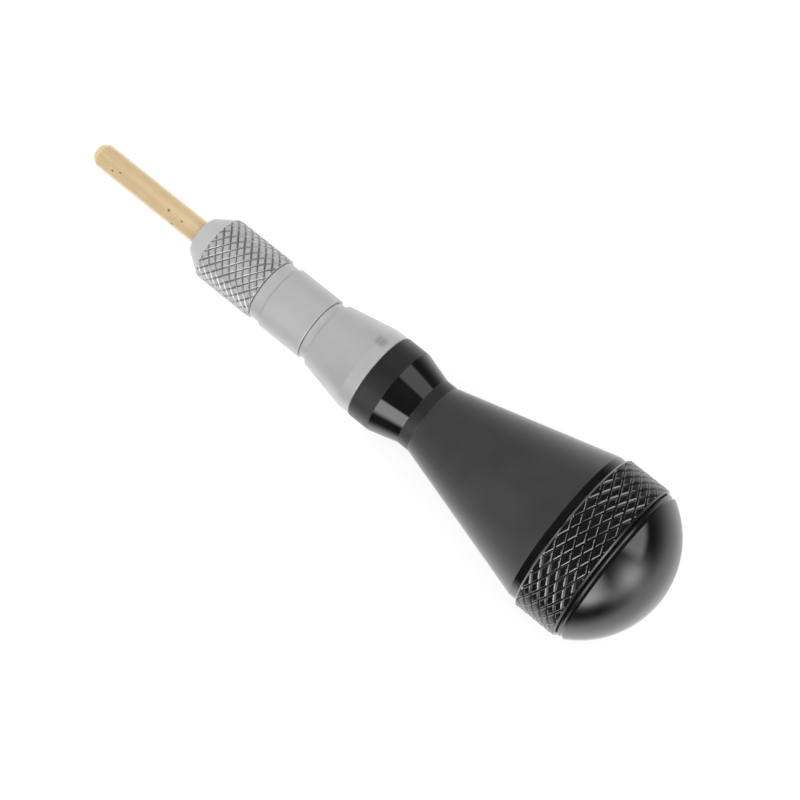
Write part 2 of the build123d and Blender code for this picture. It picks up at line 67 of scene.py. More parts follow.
record = frame["record"]
swivel = next(j for j in record["behaviour"]["joints"] if j["name"] == "dome_spin")
tip_mount = next(m for m in record["mounts"] if m["name"] == "rod_tip")
BACK = np.array(swivel["axis"], float)
BACK /= np.linalg.norm(BACK)
SIDE = np.array((0.0, 1.0, 0.0))
LIFT = np.cross(BACK, SIDE)
TIP = np.array(tip_mount["pos_m"], float)
TILT = math.atan2(BACK[2], BACK[0])


def on_axis(distance):
    """The point of the tool's axis at a distance in millimetres behind the rod's tip."""
    return TIP + BACK * distance * MM


def span(node):
    """Front, back and largest radius of a CAD node, in millimetres along and from the axis."""
    mesh = frame["nodes"][node].data
    points = np.zeros(len(mesh.vertices) * 3)
    mesh.vertices.foreach_get("co", points)
    points = (points.reshape(-1, 3) - TIP) / MM
    along = points @ BACK
    radius = np.hypot(points @ SIDE, points @ LIFT)
    return along.min(), along.max(), radius.max()


# ------------------------------------------------------------------ outlines

SMOOTH = -1.0                       # a corner that is a point of a smooth curve
EDGE = 0.06                         # usual rounding of a turned edge
FINE = 0.03                         # rounding where nothing shows
ROUND_STEP = math.radians(18)       # most that one facet of a rounding turns
RUN_SHARE = 0.45                    # most of a run that the rounding at one end of it takes


def unit(vector):
    return vector / np.hypot(*vector)


def rounding_rows(here, behind, ahead, rounding, zone):
    """The rows of one rounded corner, between the run behind it and the run ahead of it."""
    before, after = unit(behind), unit(ahead)
    turn = math.atan2(before[0] * after[1] - before[1] * after[0], before @ after)
    if rounding == SMOOTH:
        run = unit(before + after)
        return [(here[0], here[1], -run[1], run[0], zone)]
    room = RUN_SHARE * min(np.hypot(*behind), np.hypot(*ahead))
    reach = min(rounding * math.tan(abs(turn) / 2), room)
    radius = reach / math.tan(abs(turn) / 2)
    side = -1 if turn > 0 else 1
    normal = np.array((-before[1], before[0]))
    centre = here - before * reach - normal * radius * side
    steps = max(2, math.ceil(abs(turn) / ROUND_STEP))
    rows = []
    for step in range(steps + 1):
        angle = turn * step / steps
        cos, sin = math.cos(angle), math.sin(angle)
        run = np.array((before[0] * cos - before[1] * sin, before[0] * sin + before[1] * cos))
        out = np.array((-run[1], run[0]))
        point = centre + out * radius * side
        rows.append((point[0], point[1], out[0], out[1], zone))
    return rows


def outline(corners, closed):
    """Rows (distance, radius, normal along, normal out, zone) round a turned piece's section.

    A corner is (distance, radius, rounding, zone), where the zone is the material of the run that
    starts there. The section lies to the right of its outline.
    """
    rows = []
    points = [np.array(corner[:2], float) for corner in corners]
    last = len(points) - 1
    for index, (_, _, rounding, zone) in enumerate(corners):
        here = points[index]
        behind = here - points[index - 1]
        ahead = points[(index + 1) % len(points)] - here
        if closed or 0 < index < last:
            rows += rounding_rows(here, behind, ahead, rounding, zone)
        else:
            run = unit(ahead if index == 0 else behind)
            rows.append((here[0], here[1], -run[1], run[0], zone))
    return rows


# ------------------------------------------------------------------ meshes

ON_AXIS = 1e-6      # a smaller radius is a point of the axis
SHALLOW = 1e-4      # a shallower cut of a knurl is none
APART = 0.015       # least distance between a row of a knurl and a row of the outline
RUN_OUT = 0.1       # how far below a knurl's floor its rows still go, to keep a run even
FIT = 0.03          # most that a piece may differ from its CAD node in length or radius


def flat_normal(corners):
    """The normal of a flat face, from three of its corners."""
    normal = np.cross(corners[1] - corners[0], corners[2] - corners[0])
    return normal / max(np.linalg.norm(normal), 1e-30)


def corner_shapes(column, segments, pole, next_pole, split):
    """The faces between two rows and two columns, each as its corners (row offset, column).

    Split is None for a flat patch, and says for a cut one whether the crease falls with the angle.
    """
    beside = (column + 1) % segments
    a, b, c, d = (0, column), (0, beside), (1, beside), (1, column)
    if pole:
        return [(a, c, d)]
    if next_pole:
        return [(a, b, d)]
    if split is None:
        return [(a, b, c, d)]
    return [(a, b, d), (b, c, d)] if split else [(a, b, c), (a, c, d)]


def turned_mesh(name, rows, segments, closed, knurl=None):
    """A mesh of the rows turned about the axis. A knurl lowers the radius of the rows it covers."""
    angles = 2 * math.pi * np.arange(segments) / segments
    radial = np.outer(np.cos(angles), SIDE) + np.outer(np.sin(angles), LIFT)
    vertices, first, poles, depths, normals = [], [], [], [], []
    for distance, radius, normal_along, normal_out, _ in rows:
        pole = radius < ON_AXIS
        sunk = knurl.depth(distance, radius, angles) if knurl and not pole else np.zeros(segments)
        first.append(len(vertices))
        poles.append(pole)
        depths.append(sunk)
        place = on_axis(distance)
        if pole:
            vertices.append(place)
            normals.append(np.tile(BACK * np.sign(normal_along), (segments, 1)))
        else:
            vertices.extend(place + radial * ((radius - sunk) * MM)[:, None])
            normals.append(radial * normal_out + BACK * normal_along)
    vertices = np.array(vertices)
    faces, loops, zones = [], [], []
    for k in range(len(rows) if closed else len(rows) - 1):
        pair = k, (k + 1) % len(rows)
        for j in range(segments):
            beside = (j + 1) % segments
            split = None
            if knurl and max(depths[row][column] for row in pair for column in (j, beside)) > 0:
                half_way = (j + 0.5) * 2 * math.pi / segments
                split = knurl.falls_with_angle(rows[pair[0]][0], rows[pair[1]][0], half_way)
            for shape in corner_shapes(j, segments, poles[pair[0]], poles[pair[1]], split):
                corners = [(pair[offset], column) for offset, column in shape]
                face = [first[row] + (0 if poles[row] else column) for row, column in corners]
                cut = any(depths[row][column] > 0 for row, column in corners)
                faces.append(face)
                zones.append(knurl.zone if cut else rows[k][4])
                if cut:
                    loops.extend([flat_normal(vertices[face[:3]])] * len(face))
                else:
                    loops.extend(normals[row][column] for row, column in corners)
    mesh = bpy.data.meshes.new(name)
    mesh.from_pydata(vertices.tolist(), [], faces)
    mesh.polygons.foreach_set("use_smooth", [True] * len(faces))
    mesh.polygons.foreach_set("material_index", zones)
    mesh.update()
    mesh.normals_split_custom_set([tuple(normal) for normal in loops])
    return mesh


class Knurl:
    """Two families of V grooves that cross on a turned face and leave flat-topped diamonds.

    There are as many grooves each way as starts, and one crosses another after each period along
    the axis. Cut gives a groove's depth at its middle and at each next cell of its width, as shares
    of the full depth. A period is cells wide. The cut faces have the material of the zone.
    """

    def __init__(self, starts, period, crest, depth, front, back, cells, cut, zone):
        self.starts, self.period, self.crest = starts, period, crest
        self.floor, self.sink = crest - depth, depth
        self.front, self.back = front, back
        self.cells, self.cut, self.zone = cells, cut, zone

    def families(self, distance, angles):
        along = (distance - self.front) / self.period
        around = self.starts * angles / (2 * math.pi)
        return around + along, around - along

    def share(self, places):
        """How deep a groove is at each place, as a share of the full depth."""
        off = np.abs(places - np.round(places)) * self.cells
        return np.interp(off, np.arange(len(self.cut)), self.cut)

    def depth(self, distance, radius, angles):
        """How far a row of the surface lies below its own radius, at each angle."""
        if not self.front <= distance <= self.back or radius < self.floor:
            return np.zeros(len(angles))
        one, other = self.families(distance, angles)
        cut = self.crest - self.sink * np.maximum(self.share(one), self.share(other))
        sunk = np.maximum(radius - cut, 0)
        return sunk * (sunk > SHALLOW)

    def falls_with_angle(self, distance, next_distance, angle):
        one, other = self.families((distance + next_distance) / 2, np.array([angle]))
        return bool(self.share(one)[0] >= self.share(other)[0])

    def stations(self):
        """Distances of the rows that keep every crease of the grooves on an edge of the mesh."""
        step = self.period / self.cells
        return [self.front + k * step for k in range(int((self.back - self.front) / step) + 1)]


def with_knurl_rows(rows, knurl):
    """The outline's rows, with the knurl's own rows added along the runs that it covers."""
    made = []
    for row, after in zip(rows, rows[1:]):
        made.append(row)
        low, high = row[0], after[0]
        if high <= low or max(row[1], after[1]) < knurl.floor:
            continue
        for distance in knurl.stations():
            share = (distance - low) / (high - low)
            radius = row[1] + (after[1] - row[1]) * share
            if low + APART < distance < high - APART and radius >= knurl.floor - RUN_OUT:
                normal = unit(np.array(row[2:4]) * (1 - share) + np.array(after[2:4]) * share)
                made.append((distance, radius, normal[0], normal[1], row[4]))
    return made + rows[-1:]


def piece(name, body, node, corners, segments, materials, closed=True, knurl=None):
    """A turned piece that stands for a CAD node and rides on its body."""
    rows = outline(corners, closed)
    front, back, radius = span(node)
    got = min(r[0] for r in rows), max(r[0] for r in rows), max(r[1] for r in rows)
    if max(abs(got[0] - front), abs(got[1] - back), abs(got[2] - radius)) > FIT:
        raise ValueError(f"{name} measures {got}, and {node} measures {(front, back, radius)}")
    if knurl is not None:
        rows = with_knurl_rows(rows, knurl)
    mesh = turned_mesh(name, rows, segments, closed, knurl)
    made = bpy.data.objects.new(name, mesh)
    bpy.context.scene.collection.objects.link(made)
    for material in materials:
        mesh.materials.append(material)
    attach(made, body)
    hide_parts(node)
    return made


# ------------------------------------------------------------------ node trees

class Tree:
    """The node tree of a material or the world, with short names for the nodes used most."""

    def __init__(self, owner):
        owner.use_nodes = True
        self.nodes, self.links = owner.node_tree.nodes, owner.node_tree.links

    def add(self, kind, **settings):
        node = self.nodes.new(kind)
        for key, value in settings.items():
            setattr(node, key, value)
        return node

    def feed(self, node, slot, value):
        """Sets a socket to a value, or links it to another node's output."""
        if isinstance(value, bpy.types.NodeSocket):
            self.links.new(value, node.inputs[slot])
        else:
            node.inputs[slot].default_value = value

    def math(self, operation, a, b=0.0, clamp=False):
        node = self.add("ShaderNodeMath", operation=operation, use_clamp=clamp)
        self.feed(node, 0, a)
        self.feed(node, 1, b)
        return node.outputs[0]

    def plus(self, a, b):
        return self.math("ADD", a, b)

    def minus(self, a, b):
        return self.math("SUBTRACT", a, b)

    def times(self, a, b, clamp=False):
        return self.math("MULTIPLY", a, b, clamp)

    def split(self, vector):
        node = self.add("ShaderNodeSeparateXYZ")
        self.feed(node, 0, vector)
        return node.outputs

    def step(self, value, start, end):
        """0 before start and 1 after end, smooth between them. The start may lie above the end."""
        node = self.add("ShaderNodeMapRange", interpolation_type="SMOOTHSTEP")
        self.feed(node, "Value", value)
        self.feed(node, "From Min", start)
        self.feed(node, "From Max", end)
        return node.outputs["Result"]


# ------------------------------------------------------------------ materials

NOISE_HALF = 0.15       # nearly all of a noise's values lie this close to a half
NOISE_SPAN = 0.3        # and of the sum of two noises, this close to 1


class Coat(Tree):
    """A material, with the tool's own coordinates in millimetres."""

    def __init__(self, name, **settings):
        self.material = bpy.data.materials.new(name)
        super().__init__(self.material)
        self.shader = self.nodes["Principled BSDF"]
        for key, value in settings.items():
            self.shader.inputs[key.replace("_", " ")].default_value = value
        coordinates = self.add("ShaderNodeTexCoord")
        place = self.add("ShaderNodeMapping", vector_type="TEXTURE")
        self.feed(place, "Vector", coordinates.outputs["Object"])
        self.feed(place, "Location", tuple(TIP))
        self.feed(place, "Rotation", (0.0, -TILT, 0.0))
        self.feed(place, "Scale", (MM, MM, MM))
        self.place = place.outputs["Vector"]

    def stretch(self, scale):
        """The tool's coordinates, scaled along the axis and across it."""
        node = self.add("ShaderNodeMapping")
        self.feed(node, "Vector", self.place)
        self.feed(node, "Scale", scale)
        return node.outputs["Vector"]

    def turned(self):
        """Coordinates that change along the axis and from it only, for marks of the lathe tool."""
        x, y, z = self.split(self.place)
        radius = self.math("SQRT", self.plus(self.times(y, y), self.times(z, z)))
        node = self.add("ShaderNodeCombineXYZ")
        self.feed(node, 0, x)
        self.feed(node, 1, radius)
        return node.outputs[0]

    def noise(self, vector, scale, detail, roughness):
        node = self.add("ShaderNodeTexNoise")
        self.feed(node, "Vector", vector)
        self.feed(node, "Scale", scale)
        self.feed(node, "Detail", detail)
        self.feed(node, "Roughness", roughness)
        return node.outputs["Fac"]

    def remap(self, value, low, high, to_low, to_high):
        node = self.add("ShaderNodeMapRange")
        self.feed(node, "Value", value)
        self.feed(node, "From Min", low)
        self.feed(node, "From Max", high)
        self.feed(node, "To Min", to_low)
        self.feed(node, "To Max", to_high)
        return node.outputs["Result"]

    def band(self, value, low, high, soft):
        """1 between low and high, fading to 0 over the soft width outside them."""
        return self.times(self.step(value, low - soft, low), self.step(value, high + soft, high))

    def blend(self, one, other, part):
        """A weighted sum of two noises: the part is the weight of the first."""
        return self.plus(self.times(one, part), self.times(other, 1.0 - part))

    def contrast(self, value, half_width):
        """Spreads a noise about its middle value of a half until it covers 0 to 1."""
        return self.remap(value, 0.5 - half_width, 0.5 + half_width, 0.0, 1.0)

    def gloss(self, one, other, low, high):
        """Roughness between low and high, patterned by two noises together."""
        return self.remap(self.plus(one, other), 1.0 - NOISE_SPAN, 1.0 + NOISE_SPAN, low, high)

    def mix(self, factor, low, high):
        node = self.add("ShaderNodeMix", data_type="RGBA")
        self.feed(node, "Factor", factor)
        for slot, colour in (("A", low), ("B", high)):
            socket = next(s for s in node.inputs if s.name == slot and s.type == "RGBA")
            if isinstance(colour, bpy.types.NodeSocket):
                self.links.new(colour, socket)
            else:
                socket.default_value = (*colour, 1.0)
        return next(s for s in node.outputs if s.type == "RGBA")

    def bump(self, height, depth, normal=None):
        """Raises the surface by the height times a depth in millimetres."""
        node = self.add("ShaderNodeBump")
        self.feed(node, "Distance", depth * MM)
        self.feed(node, "Height", height)
        if normal is not None:
            self.feed(node, "Normal", normal)
        return node.outputs["Normal"]

    def finish(self, colour, roughness, normal):
        self.feed(self.shader, "Base Color", colour)
        self.feed(self.shader, "Roughness", roughness)
        self.feed(self.shader, "Normal", normal)
        return self.material


def grey(level, blue=0.0):
    """A grey with a touch more blue."""
    return level, level, level + blue


def pits(n):
    """Small pits along the bar's -Y side: 1 in a pit and 0 elsewhere. Most cells have one."""
    cells = n.add("ShaderNodeTexVoronoi", feature="F1")
    n.feed(cells, "Vector", n.stretch((0.62, 1.0, 1.0)))
    n.feed(cells, "Scale", 1.3)
    chance = n.add("ShaderNodeSeparateColor")
    n.feed(chance, 0, cells.outputs["Color"])
    size = n.remap(chance.outputs[0], 0.25, 1.0, -0.03, 0.22)
    pit = n.times(n.minus(size, cells.outputs["Distance"]), 14.0, clamp=True)
    return n.times(pit, n.remap(n.split(n.place)[1], -0.1, -0.5, 0.0, 1.0))


def brass_bar():
    """Drawn brass bar: pale gold, fine lengthwise streaks, handling smudges and a few pits."""
    pale, deep, pit_dark = (1.0, 0.785, 0.475), (0.91, 0.665, 0.365), (0.24, 0.145, 0.06)
    n = Coat("drawn_brass", Metallic=0.1, IOR=1.7)
    streak = n.noise(n.stretch((0.03, 1.5, 1.5)), 1.0, 3.0, 0.5)
    fine = n.noise(n.stretch((0.35, 22.0, 22.0)), 1.0, 2.0, 0.6)
    cloud = n.noise(n.stretch((0.5, 0.8, 0.8)), 1.0, 4.0, 0.6)
    pit = pits(n)
    colour = n.mix(n.contrast(n.blend(streak, cloud, 0.7), 0.1), deep, pale)
    # The pits are coloured a dark brown.
    colour = n.mix(pit, colour, pit_dark)
    normal = n.bump(streak, 0.006)
    normal = n.bump(fine, 0.004, normal)
    normal = n.bump(n.minus(0.0, pit), 0.05, normal)
    return n.finish(colour, n.gloss(fine, streak, 0.18, 0.34), normal)


def rubbed_spot(n):
    """A small worn spot at the wide end of the flare: up to 1 in its strokes, and 0 elsewhere."""
    x, y, z = n.split(n.place)
    spot = n.times(n.band(x, 48.4, 49.3, 0.7), n.band(y, 2.9, 3.4, 0.8))
    spot = n.times(spot, n.math("GREATER_THAN", z, 0.0))
    strokes = n.noise(n.stretch((7.0, 0.2, 0.2)), 1.0, 2.0, 0.6)
    return n.times(spot, n.remap(strokes, 0.35, 0.65, 0.3, 1.0), clamp=True)


def aluminium(name, low=0.36, high=0.5, lines_depth=0.0012, level=0.63, metallic=0.2, rubbed=False):
    """Satin anodised aluminium: an even fine grain over faint turning marks."""
    n = Coat(name, Metallic=metallic)
    turning = n.noise(n.turned(), 9.0, 3.0, 0.7)
    grain = n.noise(n.place, 14.0, 2.0, 0.6)
    cloud = n.noise(n.place, 0.45, 3.0, 0.55)
    tone = n.contrast(n.blend(cloud, grain, 0.6), NOISE_HALF)
    colour = n.mix(tone, grey(level, 0.003), grey(level + 0.035, 0.003))
    if rubbed:
        colour = n.mix(rubbed_spot(n), colour, grey(0.38, 0.005))
    normal = n.bump(turning, lines_depth)
    normal = n.bump(grain, 0.003, normal)
    return n.finish(colour, n.gloss(turning, grain, low, high), normal)


def black_gloss(name, low=0.05, high=0.11, lines_depth=0.0003, ior=1.5):
    """Polished black anodising: deep gloss, the faintest turning marks and handling haze."""
    n = Coat(name, IOR=ior)
    turning = n.noise(n.turned(), 16.0, 2.0, 0.6)
    haze = n.noise(n.place, 0.35, 4.0, 0.6)
    dust = n.noise(n.place, 22.0, 1.0, 0.5)
    colour = n.mix(n.contrast(haze, NOISE_HALF), grey(0.0085, 0.0003), grey(0.0125, 0.0005))
    rough = n.remap(n.blend(haze, dust, 0.7), 0.5 - NOISE_HALF, 0.5 + NOISE_HALF, low, high)
    return n.finish(colour, rough, n.bump(turning, lines_depth))


def black_satin():
    """The collar's band and waist: black anodising over fine lathe lines."""
    n = Coat("black_satin", IOR=1.8, Sheen_Weight=0.4, Sheen_Roughness=0.3)
    turning = n.noise(n.turned(), 11.0, 4.0, 0.7)
    grain = n.noise(n.place, 16.0, 2.0, 0.6)
    cloud = n.noise(n.place, 0.5, 3.0, 0.6)
    colour = n.mix(n.contrast(cloud, NOISE_HALF), grey(0.0085, 0.0005), grey(0.0125, 0.0005))
    normal = n.bump(turning, 0.0025)
    normal = n.bump(grain, 0.0015, normal)
    return n.finish(colour, n.gloss(turning, grain, 0.42, 0.56), normal)


def black_blasted():
    """The grip: bead-blasted and black anodised, with a dense soft grain and faint rubbed areas."""
    n = Coat("black_blasted", IOR=1.9, Sheen_Weight=1.0, Sheen_Roughness=0.3)
    grain = n.noise(n.place, 7.5, 3.0, 0.65)
    speck = n.noise(n.place, 19.0, 2.0, 0.5)
    cloud = n.noise(n.place, 0.22, 4.0, 0.6)
    colour = n.mix(n.contrast(n.blend(grain, cloud, 0.5), 0.12), grey(0.036, 0.0005), grey(0.049, 0.0005))
    normal = n.bump(grain, 0.012)
    normal = n.bump(speck, 0.004, normal)
    return n.finish(colour, n.gloss(grain, cloud, 0.45, 0.55), normal)


def bare_metal(name, dull, bright, low=0.18, high=0.34):
    """Machined metal of the hidden works: turning marks, an oil film's soft clouds."""
    n = Coat(name, Metallic=1.0)
    turning = n.noise(n.turned(), 8.0, 3.0, 0.7)
    cloud = n.noise(n.place, 0.7, 3.0, 0.6)
    colour = n.mix(n.contrast(cloud, NOISE_HALF), dull, bright)
    return n.finish(colour, n.gloss(turning, cloud, low, high), n.bump(turning, 0.0015))


BRASS = brass_bar()
SATIN = aluminium("satin_aluminium")
SATIN_KNURL = aluminium("satin_aluminium_knurl", 0.34, 0.46, 0.0006)
SATIN_BAND = aluminium("satin_aluminium_band", 0.30, 0.42, 0.0035, rubbed=True)
# The nose nut's knurl groove walls: more metallic than the body, and a darker grey painted as the shade
# that falls in the grooves.
SATIN_GROOVE_SHADE = aluminium("cut_aluminium_painted_shade", 0.36, 0.46, 0.0004, level=0.36, metallic=0.74)
SATIN_BORE = aluminium("satin_aluminium_bore", 0.4, 0.55, 0.002, level=0.51)
GLOSS = black_gloss("black_gloss")
GLOSS_TAPER = black_gloss("black_gloss_taper", 0.04, 0.08, 0.0002)
GLOSS_KNURL = black_gloss("black_gloss_knurl", 0.10, 0.2, 0.0004)
GLOSS_GROOVE = black_gloss("black_gloss_groove", 0.12, 0.2, 0.0002, 2.0)
BLACK_SATIN = black_satin()
BLASTED = black_blasted()
STEEL = bare_metal("machined_steel", grey(0.42, 0.01), grey(0.54, 0.01))
CAGE_BRASS = bare_metal("cage_brass", (0.52, 0.38, 0.17), (0.66, 0.50, 0.26), 0.24, 0.38)

# ------------------------------------------------------------------ the turned pieces

# Distances behind the rod's tip at which one piece ends and the next begins.
NUT_FRONT, NUT_BACK = 19.08, 31.19
NECK = 31.24
ROD_BACK = 44.0
SLEEVE_BACK = 40.06
FLARE_BACK = 50.46
COLLAR_BACK = 59.77
GRIP_BACK = 83.53
RING_BACK = 90.23

# Radii that several corners share.
ROD, ROD_BORE = 1.75, 1.95
STUD_BORE = 3.04
NUT_CREST, NUT_BORE = 4.76, 3.54
SEAT = 6.54
DOME_LIP = 11.62
RING_CREST = 12.0

piece("rod", "rod", "brass_rod", [
    (0.0, 0.0, FINE, 0),
    (0.0, 1.24, 0.2, 0),
    (0.93, ROD, 0.2, 0),
    (43.7, ROD, FINE, 0),
    (ROD_BACK, 1.45, FINE, 0),
    (ROD_BACK, 0.0, FINE, 0),
], 128, [BRASS], closed=False)

NUT_KNURL = Knurl(
    starts=18, period=1.21, crest=NUT_CREST, depth=0.11, front=21.80, back=31.12,
    cells=20, cut=(1.0, 0.6, 0.2, 0.0), zone=3,
)
piece("nose_nut_turned", "nut", "nose_nut", [
    (NUT_FRONT, 2.0, FINE, 0),
    (NUT_FRONT, 2.76, 0.5, 0),
    (22.12, NUT_CREST, 0.45, 1),
    (31.11, NUT_CREST, FINE, 0),
    (NUT_BACK, 4.68, FINE, 0),
    (NUT_BACK, 3.84, FINE, 2),
    (30.89, NUT_BORE, FINE, 2),
    (24.0, NUT_BORE, FINE, 2),
    (23.8, 3.4955, FINE, 2),
    (20.0, 2.4723, FINE, 2),
    (20.0, 2.0, FINE, 2),
], 360, [SATIN, SATIN_KNURL, SATIN_BORE, SATIN_GROOVE_SHADE], knurl=NUT_KNURL)

GROOVES, PITCH, GROOVE_HALF = 12, 0.5, 0.133
THREAD_CREST, THREAD_ROOT = 3.5, 3.28
thread = []
for index in reversed(range(GROOVES)):
    groove = NECK - (index + 0.6) * PITCH
    thread += [
        (groove - GROOVE_HALF, THREAD_CREST, FINE, 0),
        (groove, THREAD_ROOT, FINE, 0),
        (groove + GROOVE_HALF, THREAD_CREST, FINE, 0),
    ]
piece("chuck_sleeve", "handle", "chuck_body", [
    (24.4, 2.94, FINE, 0),
    (24.4, 3.3, FINE, 0),
    (24.6, THREAD_CREST, FINE, 0),
    *thread,
    (NECK, THREAD_CREST, FINE, 0),
    (NECK, 3.95, FINE, 0),
    (31.33, 3.95, FINE, 0),
    (31.33, 4.43, 0.04, 0),
    (33.03, 4.43, FINE, 0),
    (33.09, 4.33, FINE, 0),
    (33.15, 4.43, FINE, 0),
    (33.15, 4.72, 0.12, 0),
    (40.0, 4.72, FINE, 0),
    (SLEEVE_BACK, 4.66, FINE, 0),
    (SLEEVE_BACK, 3.3, FINE, 1),
    (44.6, 3.3, FINE, 1),
    (44.6, ROD_BORE, FINE, 1),
    (39.5, ROD_BORE, FINE, 1),
    (39.5, 2.94, FINE, 1),
], 192, [SATIN, SATIN_BORE])

piece("shank_flare", "handle", "shank", [
    (SLEEVE_BACK, 3.34, FINE, 0),
    (SLEEVE_BACK, 3.9, FINE, 0),
    (40.17, 3.9, FINE, 0),
    (40.17, 4.41, 0.04, 0),
    (41.35, 4.41, FINE, 0),
    (41.40, 4.34, FINE, 0),
    (41.43, 4.41, FINE, 0),
    (41.43, 4.885, 0.2, 0),
    (46.0, 5.817, SMOOTH, 1),
    (48.51, 6.33, 0.8, 1),
    (50.36, 6.33, EDGE, 1),
    (FLARE_BACK, 6.23, EDGE, 1),
    (FLARE_BACK, STUD_BORE, FINE, 2),
    (45.31, STUD_BORE, FINE, 2),
    (45.31, ROD_BORE, FINE, 2),
    (44.64, ROD_BORE, FINE, 2),
    (44.64, 3.34, FINE, 2),
], 192, [SATIN, SATIN_BAND, SATIN_BORE])

piece("collar_turned", "handle", "collar", [
    (FLARE_BACK, STUD_BORE, FINE, 0),
    (FLARE_BACK, 6.33, EDGE, 0),
    (50.56, 6.43, EDGE, 0),
    (53.90, 6.43, 0.08, 1),
    (58.11, 5.22, 0.12, 0),
    (COLLAR_BACK, 5.22, FINE, 0),
    (COLLAR_BACK, 4.0, FINE, 0),
    (61.2, 4.0, FINE, 0),
    (61.2, STUD_BORE, FINE, 0),
], 192, [BLACK_SATIN, GLOSS_TAPER])

piece("grip_cone", "handle", "grip", [
    (COLLAR_BACK, 4.04, FINE, 0),
    (COLLAR_BACK, 5.22, EDGE, 0),
    (82.42, 11.52, 0.1, 1),
    (83.43, 11.52, EDGE, 1),
    (GRIP_BACK, 11.42, EDGE, 1),
    (GRIP_BACK, 8.6, FINE, 1),
    (78.4, 8.6, FINE, 1),
    (78.4, 8.0, FINE, 1),
    (76.5, 8.0, FINE, 1),
    (65.2, 5.0, FINE, 1),
    (65.2, STUD_BORE, FINE, 1),
    (61.24, STUD_BORE, FINE, 1),
    (61.24, 4.04, FINE, 1),
], 256, [BLASTED, GLOSS])

RING_KNURL = Knurl(
    starts=24, period=1.29, crest=RING_CREST, depth=0.21, front=84.02, back=89.97,
    cells=16, cut=(1.0, 0.56, 0.22, 0.0), zone=2,
)
piece("ring_knurled", "handle", "knurl_ring", [
    (GRIP_BACK, 9.25, FINE, 0),
    (GRIP_BACK, 11.7, EDGE, 0),
    (83.80, 11.97, FINE, 0),
    (83.83, RING_CREST, FINE, 1),
    (90.0, RING_CREST, FINE, 0),
    (RING_BACK, 11.77, EDGE, 0),
    (RING_BACK, 10.4, FINE, 0),
    (85.2, 10.4, FINE, 0),
    (85.2, 9.25, FINE, 0),
], 384, [GLOSS, GLOSS_KNURL, GLOSS_GROOVE], knurl=RING_KNURL)

DOME_CENTRE, DOME_RADIUS = 84.65, 13.40
CROWN_STEPS = 72
shoulder = DOME_CENTRE + math.sqrt(DOME_RADIUS ** 2 - DOME_LIP ** 2)
opening = math.acos((shoulder - DOME_CENTRE) / DOME_RADIUS)
crown = []
for step in range(1, CROWN_STEPS):
    angle = opening * (1 - step / CROWN_STEPS)
    distance = DOME_CENTRE + DOME_RADIUS * math.cos(angle)
    crown.append((distance, DOME_RADIUS * math.sin(angle), SMOOTH, 0))
piece("palm_dome", "palm", "dome", [
    (94.6, 0.0, FINE, 1),
    (94.6, 4.4, FINE, 1),
    (93.8, 5.6, FINE, 1),
    (92.0, 5.6, FINE, 1),
    (92.0, SEAT, FINE, 1),
    (88.0, SEAT, FINE, 1),
    (88.0, 6.89, FINE, 1),
    (87.3, 6.89, FINE, 1),
    (87.3, SEAT, FINE, 1),
    (86.8, SEAT, FINE, 1),
    (86.8, 8.3, FINE, 1),
    (90.38, 8.3, FINE, 1),
    (90.38, 11.52, EDGE, 0),
    (90.48, DOME_LIP, EDGE, 0),
    (90.70, DOME_LIP, FINE, 0),
    (90.92, 11.44, FINE, 0),
    (91.28, 11.44, FINE, 0),
    (shoulder, DOME_LIP, 0.05, 0),
    *crown,
    (DOME_CENTRE + DOME_RADIUS, 0.0, FINE, 0),
], 256, [GLOSS, BLACK_SATIN], closed=False)

# ------------------------------------------------------------------ the works inside

INSIDE = {
    "collet": CAGE_BRASS, "tie_tube": STEEL, "tie_washer": STEEL, "tie_nut": STEEL,
    "end_plug": SATIN_BORE, "pivot_bolt": STEEL, "pivot_nut": STEEL, "pivot_washer": STEEL,
    "bearing_spacer": STEEL, "inner_race": STEEL, "outer_race": STEEL, "bearing_balls": STEEL,
    "bearing_cage": CAGE_BRASS, "circlip": STEEL,
}
for node, material in INSIDE.items():
    frame["nodes"][node].data.materials.clear()
    frame["nodes"][node].data.materials.append(material)

# ------------------------------------------------------------------ camera

AZIMUTH, ELEVATION = math.radians(39.96), math.radians(81.11)
EYE_ALONG = 63.78                                               # millimetres behind the rod's tip
EYE_RIGHT, EYE_UP, EYE_TOWARD = -7.391, 5.064, 342.2            # millimetres from that point

right = np.array((math.cos(AZIMUTH), math.sin(AZIMUTH), 0.0))
toward = np.array((
    math.sin(AZIMUTH) * math.cos(ELEVATION),
    -math.cos(AZIMUTH) * math.cos(ELEVATION),
    math.sin(ELEVATION),
))
up = np.cross(toward, right)
camera_data = bpy.data.cameras.new("camera")
camera_data.lens = 116.95
camera_data.sensor_width = 36.0
camera_data.clip_start, camera_data.clip_end = 0.01, 20.0
camera = bpy.data.objects.new("camera", camera_data)
bpy.context.scene.collection.objects.link(camera)
eye = on_axis(EYE_ALONG) + (EYE_RIGHT * right + EYE_UP * up + EYE_TOWARD * toward) * MM
facing = Matrix((right, up, toward)).transposed().to_4x4()
camera.matrix_world = Matrix.Translation(Vector(eye)) @ facing
bpy.context.scene.camera = camera

# ------------------------------------------------------------------ light

scene = bpy.context.scene
scene.view_settings.view_transform = "Standard"
middle = Vector(on_axis(60.0))
WHITE = (1.0, 1.0, 1.0, 1.0)


